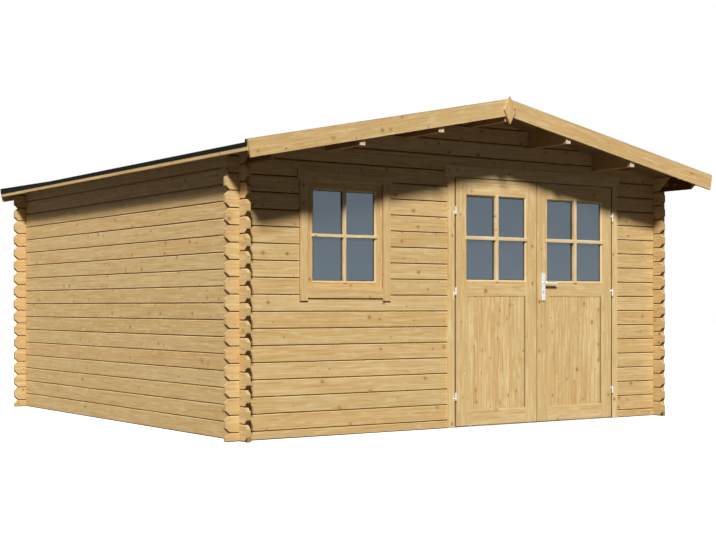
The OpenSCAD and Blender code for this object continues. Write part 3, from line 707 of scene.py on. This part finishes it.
trim_low, trim_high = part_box("window_trim")
half_trim = (trim_high.x - trim_low.x) / 2 - TRIM_EAR
paint(framed_wood("window trim wood", (trim_low, trim_high), half_trim - TRIM_W, 601,
                  low_top=(0.0, trim_high.z - HEAD_H)), "window_trim")
glass_low, glass_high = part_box("window_glass")
half_pane = (glass_high.x - glass_low.x) / 2 - GROOVE
paint(framed_wood("window sash wood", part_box("window_sash"), half_pane, 631),
      "window_sash")
lining_low, lining_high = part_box("window_lining")
half_lining = (lining_high.x - lining_low.x) / 2 - LINING_T
paint(framed_wood("window lining wood", (lining_low, lining_high), half_lining, 661),
      "window_lining")


# ---- Glass ---------------------------------------------------------------------------------
# Panes of clear float glass, 4 mm thick, in the grooves of the sash and of the leaves. The
# dark room behind them makes them look grey-blue.


def float_glass():
    t = Tree("float glass")
    waves = t.noise(t.vector(t.x * 3.0, t.y, t.z * 2.2), 1.0, 2.0)
    # A painted reflection: the pane is more opaque low down, so it looks lighter there
    low = t.smooth(t.z, 1.80, 0.95)
    blue = t.mix((0.020, 0.028, 0.034), (0.030, 0.036, 0.038), t.smooth(waves, 0.4, 0.7))
    t.material.blend_method = "BLEND"
    t.shader.inputs["IOR"].default_value = 2.6
    t.shader.inputs["Specular Tint"].default_value = (0.66, 0.81, 0.96, 1)
    return t.finish(color=blue, roughness=0.02 + waves * 0.02, alpha=0.79 + low * 0.18,
                    normal=t.bump(waves, 0.0006, 0.15))


pane = float_glass()
paint(pane, "window_glass", "left_leaf_glass", "right_leaf_glass")


# ---- Glazing bars and seals ----------------------------------------------------------------
# A cross of planed bars lies on the outside of each pane. It is rebated, so that its ends lap
# over the frame and its back reaches the glass. A dark seal runs round the glass.

WINDOW_BAR_W, DOOR_BAR_W = 0.022, 0.028
BAR_PROUD = 0.007
BAR_LAP = 0.018
BAR_EDGE = 0.0035
SEAL_W = 0.0055
SEAL_T = 0.002
SEAT = 0.0003
BAR_TONE = (0.72, 0.57, 0.33)


def seal_rubber():
    t = Tree("glazing seal")
    dull = t.noise(t.place, 160.0, 2.0)
    return t.finish(color=t.mix((0.030, 0.027, 0.024), (0.055, 0.050, 0.045), dull),
                    roughness=0.6 + dull * 0.2, normal=t.bump(dull, 0.0002, 0.3))


def bar_wood(name, centre_x, salt):
    t = Tree(name)
    off = t.x - centre_x
    upright = off.size() < DOOR_BAR_W / 2 + 0.0025
    along = t.choose(t.x, t.z, upright)
    across = t.choose(t.z, off, upright)
    return t.finish(**spruce(t, along, across, t.y * 0.5, upright * 3.0 + salt, knots=0.12,
                             tone=BAR_TONE))


def in_sight(pane_box):
    """The edges x0, x1, z0 and z1 of the glass that shows between its grooves."""
    low, high = pane_box
    return low.x + GROOVE, high.x - GROOVE, low.z + GROOVE, high.z - GROOVE


def bar_cross(name, pane_box, face_y, bar_w, salt):
    """The cross on one pane: arms are extruded from its middle, then its back is let in."""
    x0, x1, z0, z1 = in_sight(pane_box)
    cx, cz = (x0 + x1) / 2, (z0 + z1) / 2
    half = bar_w / 2
    cross = block(name, (cx - half, face_y - BAR_PROUD, cz - half), (cx + half, face_y, cz + half))
    for axis, way, opening, other, middle_at in (("x", 1, x1, "z", cz), ("x", -1, x0, "z", cz),
                                                 ("z", 1, z1, "x", cx), ("z", -1, z0, "x", cx)):
        for reach in (opening, opening + way * BAR_LAP):
            tip = max if way > 0 else min
            edge = tip(getattr(v.co, axis) for v in cross.data.vertices)
            step = Vector((0, 0, 0))
            setattr(step, axis, reach - edge)
            edit(cross, "faces",
                 lambda f: near(getattr(f.calc_center_median(), axis), edge) and
                 abs(getattr(f.normal, axis)) > 0.9 and
                 near(getattr(f.calc_center_median(), other), middle_at),
                 lambda: bpy.ops.mesh.extrude_region_move(
                     TRANSFORM_OT_translate={"value": tuple(step)}))
    inset = pane_box[0].y - SEAL_T - SEAT - face_y
    edit(cross, "faces",
         lambda f: f.normal.y > 0.9 and
         all(x0 - 1e-4 < v.co.x < x1 + 1e-4 and z0 - 1e-4 < v.co.z < z1 + 1e-4 for v in f.verts),
         lambda: bpy.ops.mesh.extrude_region_move(
             TRANSFORM_OT_translate={"value": (0, inset, 0)}))
    edit(cross, "edges",
         lambda e: all(near(v.co.y, face_y - BAR_PROUD) for v in e.verts) and
         not all(f.normal.y < -0.9 for f in e.link_faces),
         lambda: bpy.ops.mesh.bevel(offset=BAR_EDGE, segments=2, affect="EDGES"))
    return cross, bar_wood(f"{name} wood", cx, salt)


def seal(name, pane_box):
    """A flat frame of seal round the pane's outer face, with a little play in its rebate."""
    x0, x1, z0, z1 = in_sight(pane_box)
    back, play = pane_box[0].y - SEAT, 0.0004
    strip = block(name, (x0 + play, back - SEAL_T, z0 + play), (x1 - play, back, z1 - play))
    edit(strip, "faces", lambda f: abs(f.normal.y) > 0.9,
         lambda: bpy.ops.mesh.inset(thickness=SEAL_W, depth=0))
    edit(strip, "faces",
         lambda f: abs(f.normal.y) > 0.9 and
         near(f.calc_center_median().x, (x0 + x1) / 2) and
         near(f.calc_center_median().z, (z0 + z1) / 2),
         lambda: bpy.ops.mesh.bridge_edge_loops())
    edit(strip, "faces", lambda f: True,
         lambda: bpy.ops.mesh.normals_make_consistent(inside=False))
    return strip


rubber = seal_rubber()
for body, node, face_node, bar_w, slot, salt in (
    ("shed", "window_glass", "window_sash", WINDOW_BAR_W, "window_wood", 701),
    ("left_door", "left_leaf_glass", "left_leaf_frame", DOOR_BAR_W, "door_wood", 711),
    ("right_door", "right_leaf_glass", "right_leaf_frame", DOOR_BAR_W, "door_wood", 721),
):
    cross, wood = bar_cross(node.replace("glass", "bars"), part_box(node),
                            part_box(face_node)[0].y - 0.0002, bar_w, salt)
    fix(cross, body, slot, wood)
    fix(seal(node.replace("glass", "seal"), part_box(node)), body, slot, rubber)


# ---- Door frame and leaves -----------------------------------------------------------------
# Two framed leaves hang in a grooved frame. Their stiles run from top to bottom, and three
# rails are fitted between them. The trim board over the doorway is level.

STILE_W = 0.113
JAMB_W = 0.0605
JAMB_STOP = 0.019
UNSHADED_SIDE = 0.006
LEAF_RAIL_STEP = 0.62
DOOR_TONE = (0.665, 0.492, 0.238)
JAMB_TONE = (0.695, 0.537, 0.264)

frame_low, frame_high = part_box("door_frame")
half_way = (frame_high.x - frame_low.x) / 2 - JAMB_W
# Painted shade on the frame's sides in the rebate, but not on its outer side
paint(framed_wood("door frame wood", (frame_low, frame_high), half_way - JAMB_STOP, 801,
                  tone=JAMB_TONE, sides=0.8, sides_to=half_way + JAMB_W - UNSHADED_SIDE),
      "door_frame")
t = Tree("door head trim wood")
head_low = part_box("door_head_trim")[0]
number = t.y * 0.0 + 821  # one board, so the same all over
wood = spruce(t, t.x, t.z - head_low.z - 0.03, t.y * 0.4, number, knots=0.3, tone=JAMB_TONE)
paint(t.finish(**wood), "door_head_trim")
for side, salt in (("left", 841), ("right", 871)):
    low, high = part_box(f"{side}_leaf_frame")
    leaf_half = (high.x - low.x) / 2
    hinge_edge = low.x if side == "left" else high.x
    # Painted shade along each leaf's hinge edge
    paint(framed_wood(f"{side} leaf wood", (low, high), leaf_half - STILE_W, salt,
                      LEAF_RAIL_STEP, tone=DOOR_TONE, shaded_edge=hinge_edge),
          f"{side}_leaf_frame")


# ---- Leaf panels ---------------------------------------------------------------------------
# Seven upright tongue and groove boards, the outer two a little narrower, close the lower part
# of each leaf. Their edges are rebated to fit the grooves of its frame, and their V joints show
# on both faces.

PANEL_BOARD_W = 0.086
WHOLE_BOARDS = 5
PANEL_V = 0.003
PANEL_EDGE_T = 0.010
PANEL_IN_GROOVE = 0.009
PANEL_FIELD_FROM = 0.0127


def panel_wood(side, centre, panel_half, salt):
    t = Tree(f"{side} panel wood")
    row = ((t.x - centre) / PANEL_BOARD_W + 0.5).floor()
    across = t.x - centre - row * PANEL_BOARD_W
    # Dark V joints, partly dirt and partly painted shade, and painted shade by the right stile
    dirt_and_painted_shade = t.smooth(across.size(), PANEL_BOARD_W / 2 - PANEL_V, PANEL_BOARD_W / 2 - 0.0005) * 0.4
    by_stile = t.smooth(t.x - centre, panel_half - 0.0255, panel_half - 0.0185)
    dirt_and_painted_shade = dirt_and_painted_shade + by_stile * 0.6
    return t.finish(**spruce(t, t.z, across, t.y * 0.6, row + salt, knots=0.45, dirt_and_painted_shade=dirt_and_painted_shade,
                             tone=DOOR_TONE, contrast=1.35))


def panel_board(low, high, x0, x1, joints):
    """One board of a panel, V-jointed where x is in joints, its thin edges in the grooves."""
    back = high.y - PANEL_EDGE_T
    board = block("panel board", (x0, low.y, low.z + PANEL_IN_GROOVE),
                  (x1, high.y, high.z - PANEL_IN_GROOVE))
    edit(board, "faces", lambda f: True,
         lambda: bpy.ops.mesh.bisect(plane_co=(0, back, 0), plane_no=(0, 1, 0)))
    for outer, reach in ((x0, low.x), (x1, high.x)):
        if outer in joints:
            continue
        edit(board, "faces",
             lambda f: abs(f.normal.x) > 0.9 and f.calc_center_median().y > back and
             near(f.calc_center_median().x, outer),
             lambda: bpy.ops.mesh.extrude_region_move(
                 TRANSFORM_OT_translate={"value": (reach - outer, 0, 0)}))
    for way in (-1, 1):
        edit(board, "faces", lambda f: f.normal.z * way > 0.9 and f.calc_center_median().y > back,
             lambda: bpy.ops.mesh.extrude_region_move(
                 TRANSFORM_OT_translate={"value": (0, 0, way * PANEL_IN_GROOVE)}))
    edit(board, "edges",
         lambda e: near(e.verts[0].co.x, e.verts[1].co.x) and
         near(e.verts[0].co.y, e.verts[1].co.y) and
         any(near(middle(e).x, x) for x in joints) and
         (near(middle(e).y, low.y) or near(middle(e).y, high.y)),
         lambda: bpy.ops.mesh.bevel(offset=PANEL_V, segments=1, affect="EDGES"))
    return board


for side, body, salt in (("left", "left_door", 911), ("right", "right_door", 931)):
    low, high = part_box(f"{side}_leaf_panel")
    centre = (low.x + high.x) / 2
    half = PANEL_BOARD_W / 2 - BOARD_JOINT / 2
    outer = WHOLE_BOARDS / 2 * PANEL_BOARD_W + BOARD_JOINT / 2
    first = centre - (WHOLE_BOARDS - 1) / 2 * PANEL_BOARD_W
    boards = panel_board(low, high, first - half, first + half, (first - half, first + half))
    repeat(boards, WHOLE_BOARDS, (PANEL_BOARD_W, 0, 0))
    left_edge = panel_board(low, high, low.x + PANEL_FIELD_FROM, centre - outer, (centre - outer,))
    right_edge = panel_board(low, high, centre + outer, high.x - PANEL_FIELD_FROM,
                             (centre + outer,))
    fix(join(f"{side}_panel_boards", [boards, left_edge, right_edge]), body, "door_wood",
        panel_wood(side, centre, high.x - centre, salt), f"{side}_leaf_panel")


# ---- Threshold, hinges and handle ----------------------------------------------------------
# The threshold is a mill finish aluminium strip with a lip. Zinc plated screw-in hinges carry
# the leaves, and a satin aluminium lever with long plates works the latch of the right one.


def mill_aluminium():
    t = Tree("mill aluminium")
    lines = t.noise(t.vector(t.x * 6.0, t.y * 900.0, t.z * 900.0), 1.0, 2.0)
    scuff = t.noise(t.vector(t.x * 14.0, t.y * 60.0, t.z * 60.0), 1.0, 4.0)
    grey = t.mix((0.76, 0.765, 0.775), (0.88, 0.885, 0.89), lines)
    grey = t.mix(grey, (0.55, 0.55, 0.55), t.smooth(scuff, 0.58, 0.75) * 0.3)
    return t.finish(color=grey, metallic=1.0, roughness=0.32 + lines * 0.14 + scuff * 0.08,
                    normal=t.bump(lines, 0.00015, 0.35))


def zinc_plate():
    t = Tree("zinc plate")
    cloud = t.noise(t.place, 75.0, 3.0)
    fine = t.noise(t.place, 900.0, 1.0)
    grey = t.mix((0.62, 0.64, 0.65), (0.78, 0.78, 0.76), cloud)
    return t.finish(color=grey, metallic=1.0, roughness=0.30 + cloud * 0.16,
                    normal=t.bump(fine, 0.0001, 0.3))


def satin_aluminium():
    t = Tree("satin aluminium")
    brush = t.noise(t.vector(t.x * 800.0, t.y * 800.0, t.z * 30.0), 1.0, 2.0)
    grey = t.mix((0.64, 0.65, 0.66), (0.76, 0.76, 0.75), brush)
    return t.finish(color=grey, metallic=1.0, roughness=0.27 + brush * 0.12,
                    normal=t.bump(brush, 0.0001, 0.3))


paint(mill_aluminium(), "door_threshold")
paint(zinc_plate(), "frame_hinges", "left_leaf_hinges", "right_leaf_hinges")
handle_metal = satin_aluminium()
paint(handle_metal, "handle_plates", "door_lever")


# ---- Floor ---------------------------------------------------------------------------------
# Planed tongue and groove boards from the front to the back, nailed on seven bearers that lie
# on the ground.

FLOOR_BOARD_W = 0.096
FLOOR_ARRIS = 0.0008
FLOOR_PLAY = 0.004
FLOOR_TONE = (0.60, 0.41, 0.20)
BEARER_TONE = (0.55, 0.36, 0.17)


def floor_board_wood():
    t = Tree("floor board wood")
    row = ((t.x - floor_low.x) / floor_step).floor()
    across = t.x - floor_low.x - (row + 0.5) * floor_step
    return t.finish(**spruce(t, t.y, across, t.z, row + 1001, tone=FLOOR_TONE))


floor_low, floor_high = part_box("floor_boards")
floor_count = round((floor_high.x - floor_low.x) / FLOOR_BOARD_W)
floor_step = (floor_high.x - floor_low.x) / floor_count
rows = []
for row in range(floor_count):
    x0 = floor_low.x + row * floor_step
    by_door = frame_low.x - FLOOR_PLAY < x0 + floor_step and x0 < frame_high.x + FLOOR_PLAY
    start = frame_high.y + FLOOR_PLAY if by_door else floor_low.y
    board = block("board", (x0 + BOARD_JOINT / 2, start, floor_low.z),
                  (x0 + floor_step - BOARD_JOINT / 2, floor_high.y, floor_high.z))
    edit(board, "edges",
         lambda e: abs(e.verts[0].co.y - e.verts[1].co.y) > 1 and middle(e).z > floor_low.z + 0.01,
         lambda: bpy.ops.mesh.bevel(offset=FLOOR_ARRIS, segments=1, affect="EDGES"))
    rows.append(board)
fix(join("floor_planks", rows), "shed", "floor_wood", floor_board_wood(), "floor_boards")

t = Tree("bearer wood")
number = (t.y * 1.6).floor() + 1103
wood = spruce(t, t.x, t.z, t.y * 0.5, number, tone=BEARER_TONE, ends=end_grain(t, "X"))
paint(t.finish(**wood), "floor_bearers")


# ---- Studio --------------------------------------------------------------------------------
# A pale floor that keeps the shadow, a plain white surround, one main lamp from the front left
# and weak ones that open the shaded sides, and a level camera at a standing child's height.

CAMERA_AT = (-6.44419, -9.77089, 0.89574)
CAMERA_TURN = -34.308
LENS = 68.73
SHIFT_UP = 0.0514
STUDIO_FLOOR_R = 60
STUDIO_FLOOR_Z = -0.0015

bpy.ops.object.select_all(action="DESELECT")
bpy.ops.mesh.primitive_circle_add(
    vertices=96, radius=STUDIO_FLOOR_R, fill_type="NGON", location=(0, 0, STUDIO_FLOOR_Z))
ground = bpy.context.object
ground.name = "studio_floor"
t = Tree("studio floor")
rays = t.node("LightPath")
seen = rays + rays.out("Is Glossy Ray") + rays.out("Is Transmission Ray")
seen = t.node("Clamp", values={0: seen})
speck = t.noise(t.place, 3.0, 2.0)
t.feed(t.shader.inputs["Emission Color"], (1.0, 1.0, 1.0))
t.feed(t.shader.inputs["Emission Strength"], seen * 0.60)
pale = t.mix((0.60, 0.60, 0.60), (0.62, 0.62, 0.62), speck)
ground.data.materials.append(
    t.finish(color=t.mix((0.02, 0.02, 0.02), pale, seen), roughness=0.9))

world = bpy.data.worlds.new("surround")
bpy.context.scene.world = world
world.use_nodes = True
nodes, links = world.node_tree.nodes, world.node_tree.links
path = nodes.new("ShaderNodeLightPath")
soft, plain = nodes["Background"], nodes.new("ShaderNodeBackground")
soft.inputs["Color"].default_value = (1.0, 0.94, 0.86, 1)
soft.inputs["Strength"].default_value = 0.011
plain.inputs["Color"].default_value = (1, 1, 1, 1)
plain.inputs["Strength"].default_value = 1.0
either = nodes.new("ShaderNodeMath")
either.operation = "MAXIMUM"
links.new(path.outputs["Is Camera Ray"], either.inputs[0])
links.new(path.outputs["Is Glossy Ray"], either.inputs[1])
mixed = nodes.new("ShaderNodeMixShader")
links.new(either.outputs[0], mixed.inputs[0])
links.new(soft.outputs[0], mixed.inputs[1])
links.new(plain.outputs[0], mixed.inputs[2])
links.new(mixed.outputs[0], nodes["World Output"].inputs["Surface"])


def lamp(name, travel, strength, spread, colour=(1, 1, 1)):
    """A far lamp whose light travels in that direction, with a soft edge of spread degrees."""
    data = bpy.data.lights.new(name, "SUN")
    data.energy, data.angle, data.color = strength, math.radians(spread), colour
    light = bpy.data.objects.new(name, data)
    light.rotation_euler = Vector(travel).to_track_quat("-Z", "Y").to_euler()
    bpy.context.scene.collection.objects.link(light)


lamp("main lamp", (0.70, 1.0, -0.95), 4.78, 7, (1.0, 0.985, 0.96))
lamp("left lamp", (0.85, -0.15, -0.95), 0.52, 8, (1.0, 0.97, 0.93))
lamp("back lamp", (-0.60, -0.75, -0.50), 2.0, 30)

view = bpy.data.cameras.new("camera")
view.lens, view.shift_y, view.sensor_width = LENS, SHIFT_UP, 36
view.clip_start, view.clip_end = 0.1, 200
camera = bpy.data.objects.new("camera", view)
camera.location = CAMERA_AT
camera.rotation_euler = (math.radians(90), 0, math.radians(CAMERA_TURN))
bpy.context.scene.collection.objects.link(camera)
bpy.context.scene.camera = camera
bpy.context.scene.view_settings.view_transform = "Standard"
